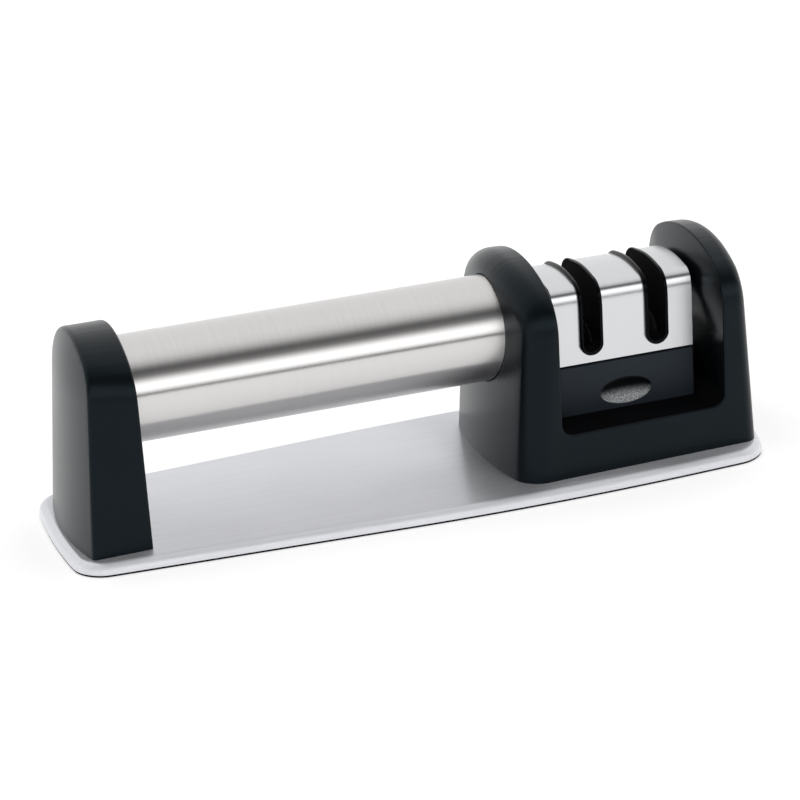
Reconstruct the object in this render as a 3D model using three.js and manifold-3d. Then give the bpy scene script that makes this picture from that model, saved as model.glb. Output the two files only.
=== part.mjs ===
// Two-slot knife sharpener: a steel tray base, a tube handle between a post and a cradle housing,
// and a lift-out cartridge with two pairs of grinding wheels. Millimetres, +Z up, length along X,
// the post at -X and the front at -Y, with the origin under the middle of the base.
import * as THREE from 'three';
import { mergeVertices } from 'three/addons/utils/BufferGeometryUtils.js';
import Module from 'manifold-3d';

const wasm = await Module();
wasm.setup();

// Clearances
const fit = 0.3;            // between pieces that slide together or turn
const overrun = 5;          // how far a cutting shape runs past what it cuts

// Base: steel tray over a plastic core and a rubber pad
const plateLength = 205.6;
const plateHalfWidth = 35;        // at the widest place
const plateWidestX = 33.2;
const plateSideRadius = 700;      // the long sides are shallow arcs
const plateTaper = 0.064;         // slope at which the arcs run out into straight sides
const plateEndRadius = { post: 200, housing: 80 };
const plateCorner = { post: 9, housing: 8 };
const plateRoll = 2.4;            // radius of the rolled edge
const sheet = 0.8;
const coreThickness = 2.17;
const padThickness = 0.65;
const padInset = 0.3;

// Tube handle
const tubeRadius = 15;
const tubeWall = 1;
const tubeHeight = 41.4;          // axis above the table
const socketDepth = 2.5;          // how far the tube ends are let into the post and the housing
const seatThickness = 4;          // solid wall behind each socket
const seatMargin = 2;
const plugDisc = 3;
const plugLength = 10;
const plugRing = 2;

// End post
const postSetback = 2.7;          // from the end of the tray
const postThickness = 20.1;
const postHalfWidth = { end: 24, inner: 23.5 };   // at its foot
const postLean = { end: 0.062, inner: 0.013 };    // how far each side leans in per millimetre of height
const postTop = 60.1;
const postShoulder = 12.3;
const postCrown = 33;
const postEndRadius = 86;         // bow of the end face in plan
const postEndDraft = 0.09;        // how far the face leans in per millimetre of height
const postEndCurl = 0.0125;       // how fast it curls over above the curl's height
const postCurlHeight = 45.6;
const postInnerDraft = 0.012;
const postEdge = { end: 1, inner: 0.8 };
const postScrewY = 9.5;

// Housing with its cradle
const housingSetback = 4.2;       // from the other end of the tray
const housingLength = 76.5;
const housingHalfWidth = 29;      // at the tube side
const housingNarrowing = 2.9;     // how much slimmer each side is at the far end
const housingLean = 0.01;
const housingTop = 61.8;           // at the tube side
const housingFall = 0.7;          // how much lower the top is at the far end
const housingShoulder = 13.4;
const housingCrown = 49.5;
const housingInnerRadius = 107.5; // bow of the face that takes the tube
const housingEndRadius = 247;
const housingInnerDraft = 0.076;
const housingEndDraft = 0.065;
const housingEdge = { inner: 6.4, end: 3.4 };
const housingScrewY = 15;
const endArm = 11.5;              // thickness of the arm away from the tube
const cradleWidth = 50;
const cradleFloor = 16.2;
const cradleCorner = 4;
const wellDepth = 6;
const shellWall = 2.5;

// Grinding wheels on their axle
const wheelRadius = 9.5;
const wheelThickness = 4.2;
const wheelRoot = 3.4;            // radius at the bottom of the V
const wheelLand = 2.3;            // width of the flat rim
const axleRadius = 2;
const wheelGap = 1.1;             // round the wheels
const spacerLength = 2.6;
const spacerWall = 1.2;
const hubGap = 0.15;              // half the gap between the two wheels of a pair
const partition = 4.8;            // wall between the two wheel chambers

// Cartridge
const cartridgeSideGap = 3.85;    // to each arm of the cradle
const cartridgeWall = 3.35;       // in front of the wheels
const panelHeight = 14.2;         // black panel above the cradle floor
const panelLean = 0.03;
const coverSetback = 0.05;        // of the cover's ends from the panel's ends
const coverGap = 0.5;             // seam between the panel and the cover
const coverHeight = 23.7;
const coverInset = 0.25;          // of the cover's face behind the panel's face
const coverLean = 0.01;
const coverShoulder = 2.5;
const coverCrown = 60;
const tongueDepth = 1;            // how far the body's upper arch runs down into the panel
const notchDepth = 1.8;           // how deep the end walls take the axle
const floorThickness = 2;
const recessHalfLength = 7.9;
const recessHalfHeight = 3.9;
const recessDepth = 1.9;
const recessHeight = 4.9;         // centre of the thumb recess above the cradle floor

// Slots with their liners
const slotHalf = 2.2;
const linerWall = 0.65;
const slotRise = 2.7;             // steel left under each slot
const beadWidth = 0.4;            // rim that lies over the edge of the steel
const beadHeight = 0.9;
const axleDrop = 3.7;             // axle below the bottom of the slots

// Screws
const baseScrew = { head: 2.8, headHeight: 1.6, shank: 1.45, length: 11.5 };
const plugScrew = { head: 3.3, headHeight: 2, shank: 1.6, length: 8.5 };
const cartridgeScrew = { head: 2, headHeight: 1.2, shank: 1.1, length: 9 };
const cartridgeScrewY = 7.4;
const screwWebHalf = 3.6;
const screwWebHeight = 12;
const screwTip = 0.8;

// Fineness of the round shapes
const tubeSides = 48;
const wheelSides = 36;
const pinSides = 20;
const screwSides = 14;
const recessSides = 28;
const sideSteps = 14;
const cornerSteps = 5;
const edgeSteps = 3;
const leastArc = 0.4;             // smallest radius an inset arc shrinks to

// Heights and places worked out from the sizes above
const baseTop = padThickness + coreThickness + sheet;
const postEndX = -plateLength / 2 + postSetback;
const postInnerX = postEndX + postThickness;
const housingEndX = plateLength / 2 - housingSetback;
const housingStartX = housingEndX - housingLength;
const cradleEndX = housingEndX - endArm;
const cradleStartX = cradleEndX - cradleWidth;
const cartridgeX = (cradleStartX + cradleEndX) / 2;
const tubeRise = tubeHeight - baseTop;
const postSocketX = postInnerX - postInnerDraft * tubeRise - socketDepth;
const housingSocketX = housingStartX + housingInnerDraft * tubeRise + socketDepth;
const cartridgeLength = cradleWidth - 2 * cartridgeSideGap;
const coverLength = cartridgeLength - 2 * coverSetback;
const seatZ = cradleFloor - wellDepth + fit;
const panelTop = cradleFloor + panelHeight;
const coverBottom = panelTop + coverGap;
const coverTop = coverBottom + coverHeight;
const slotBottom = coverBottom + slotRise;
const axleZ = slotBottom - axleDrop;
const chamberRadius = wheelRadius + wheelGap;
const chamberHalf = hubGap + wheelThickness + fit + spacerLength + fit;
const slotSpacing = 2 * chamberHalf + partition;
const slotCentres = { coarse: cartridgeX - slotSpacing / 2, fine: cartridgeX + slotSpacing / 2 };
const axleReach = slotSpacing / 2 + chamberHalf + notchDepth;
const panelHalfAtTop = chamberRadius + cartridgeWall;
const panelHalfAtFloor = panelHalfAtTop + panelLean * panelHeight;
const cutHalf = slotHalf + linerWall + fit;

const vector = (x, y, z) => new THREE.Vector3(x, y, z);
const origin = vector(0, 0, 0);

// A closed mesh as a solid that can be joined and cut
function solid(geometry) {
  const bare = new THREE.BufferGeometry();
  bare.setAttribute('position', geometry.getAttribute('position').clone());
  if (geometry.index) {
    bare.setIndex(geometry.index.clone());
  }
  const merged = mergeVertices(bare, 1e-4);
  const corners = merged.index.array;
  const kept = [];
  for (let i = 0; i < corners.length; i += 3) {
    const [a, b, c] = corners.slice(i, i + 3);
    if (a !== b && b !== c && c !== a) {
      kept.push(a, b, c);
    }
  }
  return new wasm.Manifold(new wasm.Mesh({
    numProp: 3,
    vertProperties: new Float32Array(merged.getAttribute('position').array),
    triVerts: new Uint32Array(kept),
  }));
}

function geometryOf(body) {
  const mesh = body.getMesh();
  const geometry = new THREE.BufferGeometry();
  const points = new Float32Array(mesh.numVert * 3);
  for (let i = 0; i < mesh.numVert; i += 1) {
    for (let k = 0; k < 3; k += 1) {
      points[3 * i + k] = mesh.vertProperties[mesh.numProp * i + k];
    }
  }
  geometry.setAttribute('position', new THREE.BufferAttribute(points, 3));
  geometry.setIndex(new THREE.BufferAttribute(new Uint32Array(mesh.triVerts), 1));
  geometry.computeVertexNormals();
  return geometry;
}

// Rings with equal counts of points become a skin, closed at both ends by the same cap faces
function loft(rings, capFaces) {
  const count = rings[0].length;
  const triangles = [];
  for (let r = 0; r + 1 < rings.length; r += 1) {
    for (let i = 0; i < count; i += 1) {
      const a = r * count + i;
      const b = r * count + ((i + 1) % count);
      triangles.push(a, b, b + count, a, b + count, a + count);
    }
  }
  const last = (rings.length - 1) * count;
  for (const [a, b, c] of capFaces) {
    triangles.push(c, b, a);
    triangles.push(last + a, last + b, last + c);
  }
  const points = rings.flat();
  const cross = vector(0, 0, 0);
  let volume = 0;
  for (let i = 0; i < triangles.length; i += 3) {
    cross.crossVectors(points[triangles[i + 1]], points[triangles[i + 2]]);
    volume += points[triangles[i]].dot(cross);
  }
  if (volume < 0) {
    triangles.reverse();
  }
  const geometry = new THREE.BufferGeometry().setFromPoints(points);
  geometry.setIndex(triangles);
  return solid(geometry);
}

function box(x0, x1, y0, y1, z0, z1) {
  const geometry = new THREE.BoxGeometry(x1 - x0, y1 - y0, z1 - z0);
  geometry.translate((x0 + x1) / 2, (y0 + y1) / 2, (z0 + z1) / 2);
  return solid(geometry);
}

// Turned shapes: points are (distance along the axis, radius), the axis is X or Z
function turned(points, sides, axis, place) {
  const profile = points.map(([along, radius]) => new THREE.Vector2(radius, along));
  const geometry = new THREE.LatheGeometry(profile, sides);
  if (axis === 'x') {
    geometry.rotateZ(-Math.PI / 2);
  } else {
    geometry.rotateX(Math.PI / 2);
  }
  geometry.translate(place.x, place.y, place.z);
  const body = solid(geometry);
  return body.volume() < 0 ? solid(flipped(geometry)) : body;
}

function flipped(geometry) {
  const copy = geometry.clone();
  copy.setIndex(Array.from(copy.index.array).reverse());
  return copy;
}

function rod(radius, from, to, sides, axis, place) {
  return turned([[from, 0], [from, radius], [to, radius], [to, 0]], sides, axis, place);
}

// An outline in X and Z pulled through the whole depth along Y
function throughCut(outline, halfDepth) {
  const shape = new THREE.Shape(outline.map(([x, z]) => new THREE.Vector2(x, z)));
  const geometry = new THREE.ExtrudeGeometry(shape, { depth: 2 * halfDepth, bevelEnabled: false });
  geometry.rotateX(Math.PI / 2);
  geometry.translate(0, halfDepth, 0);
  return solid(geometry);
}

function arcPoints(centreX, centreY, radius, from, to, steps) {
  const points = [];
  for (let i = 0; i <= steps; i += 1) {
    const angle = from + ((to - from) * i) / steps;
    points.push([centreX + radius * Math.cos(angle), centreY + radius * Math.sin(angle)]);
  }
  return points;
}

// Tray outline: sides that widen towards the housing, bowed ends and soft corners
function trayOutline(inset) {
  const halfLength = plateLength / 2 - inset;
  const straightFrom = plateTaper * plateSideRadius;
  const widthAt = (x) => {
    const off = Math.abs(x - plateWidestX);
    const bend = Math.min(off, straightFrom);
    return plateHalfWidth - inset - bend ** 2 / (2 * plateSideRadius) - plateTaper * (off - bend);
  };
  const quarter = (end, sign) => {
    const endAt = (y) => sign * (halfLength - y ** 2 / (2 * plateEndRadius[end]));
    const radius = Math.max(plateCorner[end] - inset, leastArc);
    let y = widthAt(sign * halfLength);
    for (let i = 0; i < cornerSteps; i += 1) {
      y = widthAt(endAt(y));
    }
    const corner = new THREE.Vector2(endAt(y), y);
    const onEnd = new THREE.Vector2(endAt(y - radius), y - radius);
    const sideX = corner.x - sign * radius;
    const onSide = new THREE.Vector2(sideX, widthAt(sideX));
    const bowed = [];
    for (let i = 1; i < cornerSteps; i += 1) {
      const across = (onEnd.y * i) / cornerSteps;
      bowed.push(new THREE.Vector2(endAt(across), across));
    }
    return [...bowed, ...new THREE.QuadraticBezierCurve(onEnd, corner, onSide).getPoints(cornerSteps)];
  };
  const right = quarter('housing', 1);
  const left = quarter('post', -1).reverse();
  const side = [];
  for (let i = 1; i < sideSteps; i += 1) {
    const x = THREE.MathUtils.lerp(right.at(-1).x, left[0].x, i / sideSteps);
    side.push(new THREE.Vector2(x, widthAt(x)));
  }
  const back = [new THREE.Vector2(halfLength, 0), ...right, ...side, ...left];
  const front = back.slice(1).reverse().map((p) => new THREE.Vector2(p.x, -p.y));
  return [...back, new THREE.Vector2(-halfLength, 0), ...front];
}

// A flat piece stacked from tray outlines at several heights
function trayStack(levels) {
  const rings = levels.map(({ z, inset }) => trayOutline(inset).map((p) => vector(p.x, p.y, z)));
  const capFaces = THREE.ShapeUtils.triangulateShape(trayOutline(levels[0].inset), []);
  return loft(rings, capFaces);
}

// Levels of a tray with rolled edges: offset is measured inwards from the outer skin
function rolledLevels(bottom, offset) {
  const levels = [{ z: bottom, inset: offset }];
  const radius = plateRoll - offset;
  for (let i = 0; i <= edgeSteps; i += 1) {
    const angle = (Math.PI / 2) * (i / edgeSteps);
    levels.push({
      z: baseTop - plateRoll + radius * Math.sin(angle),
      inset: offset + radius * (1 - Math.cos(angle)),
    });
  }
  return levels;
}

// Half of an arch from its foot to its crown: a leaning side, a shoulder arc and a crown arc
function archHalf(arch, inset) {
  const half = arch.half - inset;
  const shoulder = Math.max(arch.shoulder - inset, leastArc);
  const crown = arch.crown - inset;
  const crownZ = arch.top - inset - crown;
  const reach = half + arch.lean * arch.foot - shoulder * Math.hypot(1, arch.lean);
  const a = 1 + arch.lean ** 2;
  const b = -2 * (reach * arch.lean + crownZ);
  const c = reach ** 2 + crownZ ** 2 - (crown - shoulder) ** 2;
  const shoulderZ = (-b + Math.sqrt(b ** 2 - 4 * a * c)) / (2 * a);
  const shoulderY = reach - arch.lean * shoulderZ;
  const sideAngle = Math.atan(arch.lean);
  const crownAngle = Math.atan2(shoulderZ - crownZ, shoulderY);
  return [
    [half, arch.foot],
    ...arcPoints(shoulderY, shoulderZ, shoulder, sideAngle, crownAngle, cornerSteps),
    ...arcPoints(0, crownZ, crown, crownAngle, Math.PI / 2, cornerSteps).slice(1),
  ];
}

// Arches joined along X. Each station has its arch and place, its inset, and its bow, draft and curl.
function archLoft(stations) {
  const rings = stations.map(({ arch, x, inset = 0, bow = 0, draft = 0, curl = 0 }) => {
    const half = archHalf(arch, inset);
    const front = half.map(([y, z]) => [-y, z]);
    const over = [...front, ...half.slice(0, -1).reverse()];
    const under = over.slice(1, -1).reverse().map(([y]) => [y, arch.foot]);
    const place = ([y, z]) => {
      const head = Math.max(z - postCurlHeight, 0);
      return vector(x + bow * y ** 2 + draft * (z - baseTop) + curl * head ** 2, y, z);
    };
    return [...over, ...under].map(place);
  });
  const count = rings[0].length;
  const last = count / 2;
  const below = (k) => (k === 0 || k === last ? k : count - k);
  const capFaces = [];
  for (let k = 0; k < last; k += 1) {
    const [a, b, c, d] = [k, k + 1, below(k + 1), below(k)];
    if (b !== c) {
      capFaces.push([a, b, c]);
    }
    if (a !== d) {
      capFaces.push([a, c, d]);
    }
  }
  return loft(rings, capFaces);
}

// Stations that round both end edges of an arch
function roundedStations(start, end) {
  const quarter = (station, inward) => {
    const rounded = [];
    for (let i = 0; i <= edgeSteps; i += 1) {
      const angle = (Math.PI / 2) * (1 - i / edgeSteps);
      const x = station.x + inward * station.edge * (1 - Math.sin(angle));
      rounded.push({ ...station, x, inset: station.edge * (1 - Math.cos(angle)) });
    }
    return rounded;
  };
  return [...quarter(start, 1), ...quarter(end, -1).reverse()];
}

// The hollow of an arch: one wall further in, and carried down through the open foot
function hollowStations(start, end) {
  const deeper = (arch) => ({ ...arch, foot: arch.foot - overrun, half: arch.half + arch.lean * overrun });
  const inner = (station, inward) => ({
    ...station,
    arch: deeper(station.arch),
    x: station.x + inward * shellWall,
    inset: shellWall,
  });
  return [inner(start, 1), inner(end, -1)];
}

function screw(size) {
  const tip = size.length - screwTip;
  return turned([
    [0, 0],
    [0, size.head],
    [size.headHeight, size.shank],
    [tip, size.shank],
    [size.length, size.shank / 2],
    [size.length, 0],
  ], screwSides, 'z', origin);
}

// Room for a screw: the same shape with the clearance all round
function screwRoom(size, place) {
  const room = {
    head: size.head + fit,
    headHeight: size.headHeight + fit,
    shank: size.shank + fit,
    length: size.length + fit,
  };
  return turned([
    [-overrun, 0],
    [-overrun, room.head],
    [0, room.head],
    [room.headHeight, room.shank],
    [room.length, room.shank],
    [room.length, 0],
  ], screwSides, 'z', place);
}

// The sharpener is a base group with a cartridge group that lifts out of it
const sharpener = new THREE.Group();
const base = new THREE.Group();
const cartridge = new THREE.Group();
sharpener.add(base, cartridge);

function addPiece(group, name, body, finish, place = origin) {
  const mesh = new THREE.Mesh(geometryOf(body), new THREE.MeshStandardMaterial(finish));
  mesh.name = name;
  mesh.position.copy(place);
  group.add(mesh);
}

const blackPlastic = { color: 0x17181b, roughness: 0.5, metalness: 0 };
const glossPlastic = { color: 0x0b0b0d, roughness: 0.15, metalness: 0 };
const brushedSteel = { color: 0xb9b7b4, roughness: 0.35, metalness: 1 };
const screwSteel = { color: 0x8d8f92, roughness: 0.4, metalness: 1 };
const rubber = { color: 0x101010, roughness: 0.9, metalness: 0 };
const diamondGrit = { color: 0x3c3f43, roughness: 0.7, metalness: 0.6 };
const greyCeramic = { color: 0x282726, roughness: 0.6, metalness: 0 };
const darkSteel = { color: 0x242527, roughness: 0.4, metalness: 1 };
const innerPlastic = { color: 0x2a2b2e, roughness: 0.6, metalness: 0 };

// Places of the six screws that hold the post and the housing on the base
const postMiddleX = (postEndX + postInnerX) / 2;
const tubeArmX = (housingStartX + cradleStartX) / 2;
const endArmX = (cradleEndX + housingEndX) / 2;
const baseScrews = [
  ['post_screw_front', postMiddleX, -postScrewY],
  ['post_screw_back', postMiddleX, postScrewY],
  ['housing_screw_tube_front', tubeArmX, -housingScrewY],
  ['housing_screw_tube_back', tubeArmX, housingScrewY],
  ['housing_screw_end_front', endArmX, -housingScrewY],
  ['housing_screw_end_back', endArmX, housingScrewY],
].map(([name, x, y]) => ({ name, place: vector(x, y, padThickness + fit) }));

function cutBaseScrews(body) {
  return baseScrews.reduce((rest, { place }) => rest.subtract(screwRoom(baseScrew, place)), body);
}

// Steel tray
const traySkin = trayStack(rolledLevels(padThickness, 0));
const trayHollow = trayStack(rolledLevels(padThickness - overrun, sheet));
addPiece(base, 'base_plate', cutBaseScrews(traySkin.subtract(trayHollow)), brushedSteel);

// Plastic core with its countersinks, and the rubber pad that covers them
const core = trayStack(rolledLevels(padThickness, sheet + fit));
addPiece(base, 'base_core', cutBaseScrews(core), innerPlastic);
const pad = trayStack([{ z: 0, inset: padInset }, { z: padThickness, inset: padInset }]);
addPiece(base, 'base_pad', pad, rubber);
for (const { name, place } of baseScrews) {
  addPiece(base, name, screw(baseScrew), screwSteel, place);
}

// A web inside a hollow moulding, for one screw from below
function screwWeb({ place }, x0, x1) {
  const top = baseTop + screwWebHeight;
  return box(x0, x1, place.y - screwWebHalf, place.y + screwWebHalf, baseTop - overrun, top);
}

// End post: a hollow arch with a socket for the tube
function postArch(end) {
  return {
    foot: baseTop,
    half: postHalfWidth[end],
    lean: postLean[end],
    top: postTop,
    shoulder: postShoulder,
    crown: postCrown,
  };
}

const postStart = {
  arch: postArch('end'),
  x: postEndX,
  bow: 1 / (2 * postEndRadius),
  draft: postEndDraft,
  curl: postEndCurl,
  edge: postEdge.end,
};
const postFinish = { arch: postArch('inner'), x: postInnerX, draft: -postInnerDraft, edge: postEdge.inner };
const tubeAxis = vector(0, 0, tubeHeight);

function tubeSeat(x0, x1) {
  return rod(tubeRadius + seatMargin, x0, x1, tubeSides, 'x', tubeAxis);
}

function tubeSocket(x0, x1) {
  return rod(tubeRadius + fit, x0, x1, tubeSides, 'x', tubeAxis);
}

function endPost() {
  const skin = archLoft(roundedStations(postStart, postFinish));
  let hollow = archLoft(hollowStations(postStart, postFinish));
  hollow = hollow.subtract(tubeSeat(postSocketX - seatThickness, postInnerX));
  for (const web of baseScrews.slice(0, 2)) {
    hollow = hollow.subtract(screwWeb(web, postEndX, postInnerX));
  }
  const carved = skin.subtract(hollow).subtract(tubeSocket(postSocketX, postInnerX + overrun));
  return cutBaseScrews(carved).subtract(plugScrewRoom.post);
}

// Plug screws stand along the tube's axis, with their heads inside the tube
const plugScrewPlaces = {
  post: vector(postSocketX + plugDisc + plugScrew.headHeight, 0, tubeHeight),
  housing: vector(housingSocketX - plugDisc - plugScrew.headHeight, 0, tubeHeight),
};

function plugScrewShape(size, grow, side) {
  const sign = side === 'post' ? -1 : 1;
  const points = [
    [0, 0],
    [0, size.head + grow],
    [size.headHeight, size.head + grow],
    [size.headHeight, size.shank + grow],
    [size.length + grow, size.shank + grow],
    [size.length + grow, 0],
  ];
  const along = points.map(([x, radius]) => [sign * x, radius]);
  return turned(sign < 0 ? along.reverse() : along, screwSides, 'x', plugScrewPlaces[side]);
}

const plugScrewRoom = {
  post: plugScrewShape(plugScrew, fit, 'post'),
  housing: plugScrewShape(plugScrew, fit, 'housing'),
};
addPiece(base, 'end_post', endPost(), blackPlastic);

// Tube handle, spigots and their screws
const tubeEnds = [postSocketX + fit, housingSocketX - fit];
const tubeInner = tubeRadius - tubeWall;
const tube = rod(tubeRadius, tubeEnds[0], tubeEnds[1], tubeSides, 'x', tubeAxis)
  .subtract(rod(tubeInner, tubeEnds[0] - overrun, tubeEnds[1] + overrun, tubeSides, 'x', tubeAxis));
addPiece(base, 'handle_tube', tube, brushedSteel);

function tubePlug(side) {
  const from = side === 'post' ? postSocketX : housingSocketX;
  const sign = side === 'post' ? 1 : -1;
  const along = (radius, a, b, sides) => {
    const [x0, x1] = [from + sign * a, from + sign * b];
    return rod(radius, Math.min(x0, x1), Math.max(x0, x1), sides, 'x', tubeAxis);
  };
  const outer = tubeInner - fit;
  return along(outer, 0, plugLength, tubeSides)
    .subtract(along(outer - plugRing, plugDisc, plugLength + overrun, tubeSides))
    .subtract(along(plugScrew.shank + fit, -overrun, plugDisc + fit, screwSides));
}

addPiece(base, 'tube_plug_post', tubePlug('post'), innerPlastic);
addPiece(base, 'tube_plug_housing', tubePlug('housing'), innerPlastic);
addPiece(base, 'plug_screw_post', plugScrewShape(plugScrew, 0, 'post'), screwSteel);
addPiece(base, 'plug_screw_housing', plugScrewShape(plugScrew, 0, 'housing'), screwSteel);

// Housing: a hollow arch cut by a U-shaped cradle with a well for the cartridge
const housingArch = {
  foot: baseTop,
  half: housingHalfWidth,
  lean: housingLean,
  top: housingTop,
  shoulder: housingShoulder,
  crown: housingCrown,
};
const housingStart = {
  arch: housingArch,
  x: housingStartX,
  bow: 1 / (2 * housingInnerRadius),
  draft: housingInnerDraft,
  edge: housingEdge.inner,
};
const housingFinish = {
  arch: { ...housingArch, half: housingHalfWidth - housingNarrowing, top: housingTop - housingFall },
  x: housingEndX,
  bow: -1 / (2 * housingEndRadius),
  draft: -housingEndDraft,
  edge: housingEdge.end,
};

function cradleCut(grow) {
  const [x0, x1] = [cradleStartX - grow, cradleEndX + grow];
  const floor = cradleFloor - grow;
  const radius = cradleCorner + grow;
  const outline = [
    [x0, housingTop + overrun],
    ...arcPoints(x0 + radius, floor + radius, radius, Math.PI, 1.5 * Math.PI, cornerSteps),
    ...arcPoints(x1 - radius, floor + radius, radius, 1.5 * Math.PI, 2 * Math.PI, cornerSteps),
    [x1, housingTop + overrun],
  ];
  return throughCut(outline, housingHalfWidth + overrun);
}

function wellCut(grow) {
  const reachX = cartridgeLength / 2 + fit + grow;
  const reachY = panelHalfAtFloor + fit + grow;
  const bottom = cradleFloor - wellDepth - grow;
  return box(cartridgeX - reachX, cartridgeX + reachX, -reachY, reachY, bottom, cradleFloor + overrun);
}

function housing() {
  const skin = archLoft(roundedStations(housingStart, housingFinish));
  let hollow = archLoft(hollowStations(housingStart, housingFinish));
  hollow = hollow.subtract(cradleCut(shellWall)).subtract(wellCut(shellWall));
  hollow = hollow.subtract(tubeSeat(housingStartX, housingSocketX + seatThickness));
  for (const web of baseScrews.slice(2, 4)) {
    hollow = hollow.subtract(screwWeb(web, housingStartX, cradleStartX));
  }
  for (const web of baseScrews.slice(4)) {
    hollow = hollow.subtract(screwWeb(web, cradleEndX, housingEndX));
  }
  const carved = skin.subtract(hollow).subtract(cradleCut(0)).subtract(wellCut(0))
    .subtract(tubeSocket(housingStartX - overrun, housingSocketX));
  return cutBaseScrews(carved).subtract(plugScrewRoom.housing);
}

addPiece(base, 'housing', housing(), blackPlastic);

// Cartridge: the cover's arch, which the body follows one sheet further in
const coverArch = {
  foot: coverBottom,
  half: panelHalfAtTop - coverInset,
  lean: coverLean,
  top: coverTop,
  shoulder: coverShoulder,
  crown: coverCrown,
};

function coverShape(inset, length, foot) {
  const arch = { ...coverArch, foot, half: coverArch.half + coverLean * (coverBottom - foot) };
  return archLoft([
    { arch, x: cartridgeX - length / 2, inset },
    { arch, x: cartridgeX + length / 2, inset },
  ]);
}

// A slot with a round bottom, cut from above through the whole depth
function slotCut(centre, half, bottom) {
  return throughCut([
    [centre - half, coverTop + overrun],
    ...arcPoints(centre, bottom + half, half, Math.PI, 2 * Math.PI, 2 * cornerSteps),
    [centre + half, coverTop + overrun],
  ], panelHalfAtFloor + overrun);
}

// The chamber that a pair of wheels turns in
function wheelRoom(centre) {
  const [x0, x1] = [centre - chamberHalf, centre + chamberHalf];
  return rod(chamberRadius, x0, x1, wheelSides, 'x', vector(0, 0, axleZ));
}

function cartridgeScrewPlace(sign) {
  return vector(cartridgeX, sign * cartridgeScrewY, seatZ);
}

function thumbRecess(sign) {
  const height = cradleFloor + recessHeight;
  const face = panelHalfAtFloor - panelLean * recessHeight;
  const geometry = new THREE.SphereGeometry(1, recessSides, recessSides / 2);
  geometry.scale(recessHalfLength, recessDepth, recessHalfHeight);
  geometry.translate(cartridgeX, sign * face, height);
  return solid(geometry);
}

function cartridgeBody() {
  const panel = [
    [-panelHalfAtFloor, seatZ],
    [panelHalfAtFloor, seatZ],
    [panelHalfAtFloor, cradleFloor],
    [panelHalfAtTop, panelTop],
    [-panelHalfAtTop, panelTop],
    [-panelHalfAtFloor, cradleFloor],
  ];
  const ends = [cartridgeX - cartridgeLength / 2, cartridgeX + cartridgeLength / 2];
  const rings = ends.map((x) => panel.map(([y, z]) => vector(x, y, z)));
  const flat = panel.map(([y, z]) => new THREE.Vector2(y, z));
  let body = loft(rings, THREE.ShapeUtils.triangulateShape(flat, []));
  body = body.add(coverShape(sheet + fit, coverLength, panelTop - tongueDepth));
  for (const centre of Object.values(slotCentres)) {
    body = body.subtract(slotCut(centre, cutHalf, slotBottom));
    body = body.subtract(wheelRoom(centre));
    const [x0, x1] = [centre - chamberHalf, centre + chamberHalf];
    body = body.subtract(box(x0, x1, -chamberRadius, chamberRadius, 0, axleZ));
  }
  const notch = axleRadius + fit;
  const [notchStart, notchEnd] = [cartridgeX - axleReach, cartridgeX + axleReach];
  body = body.subtract(box(notchStart, notchEnd, -notch, notch, 0, axleZ));
  body = body.subtract(rod(notch, notchStart, notchEnd, pinSides, 'x', vector(0, 0, axleZ)));
  const floorTop = seatZ + floorThickness;
  body = body.subtract(box(notchStart, notchEnd, -chamberRadius, chamberRadius, 0, floorTop));
  for (const sign of [-1, 1]) {
    body = body.subtract(thumbRecess(sign));
    body = body.subtract(screwRoom(cartridgeScrew, cartridgeScrewPlace(sign)));
  }
  return body;
}

addPiece(cartridge, 'cartridge_body', cartridgeBody(), blackPlastic);

function cartridgeCover() {
  const inside = coverShape(sheet, coverLength + 2 * overrun, coverBottom - overrun);
  const channel = coverShape(0, coverLength, coverBottom).subtract(inside);
  return Object.values(slotCentres).reduce(
    (rest, centre) => rest.subtract(slotCut(centre, cutHalf, slotBottom)),
    channel,
  );
}

addPiece(cartridge, 'cartridge_cover', cartridgeCover(), brushedSteel);

// Slot liners: a thin U through the cartridge with a raised bead over the edge of the steel
function slotGuide(centre) {
  const outerHalf = slotHalf + linerWall;
  const bottom = slotBottom + fit;
  const wide = coverLength + 2 * overrun;
  const lowFoot = coverBottom - overrun;
  const beadSkin = coverShape(-beadHeight, wide, lowFoot);
  const wall = slotCut(centre, outerHalf, bottom).intersect(beadSkin);
  const beadOutline = slotCut(centre, cutHalf + beadWidth, slotBottom - beadWidth);
  const bead = beadOutline.intersect(beadSkin).subtract(coverShape(-fit, wide, lowFoot));
  return wall.add(bead)
    .subtract(slotCut(centre, slotHalf, bottom + linerWall))
    .subtract(wheelRoom(centre));
}

addPiece(cartridge, 'slot_guide_coarse', slotGuide(slotCentres.coarse), glossPlastic);
addPiece(cartridge, 'slot_guide_fine', slotGuide(slotCentres.fine), glossPlastic);

// Wheels: two bevelled discs face each other and leave a V between them
function wheel(sign) {
  const bore = axleRadius + fit;
  const profile = [
    [hubGap, bore],
    [hubGap, wheelRoot],
    [hubGap + wheelThickness - wheelLand, wheelRadius],
    [hubGap + wheelThickness, wheelRadius],
    [hubGap + wheelThickness, bore],
    [hubGap, bore],
  ];
  const along = profile.map(([x, radius]) => [sign * x, radius]);
  return turned(along, wheelSides, 'x', origin);
}

function spacer(sign) {
  const from = hubGap + wheelThickness + fit;
  const bore = axleRadius + fit;
  const profile = [
    [from, bore],
    [from, bore + spacerWall],
    [from + spacerLength, bore + spacerWall],
    [from + spacerLength, bore],
    [from, bore],
  ];
  const along = profile.map(([x, radius]) => [sign * x, radius]);
  return turned(along, pinSides, 'x', origin);
}

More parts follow.
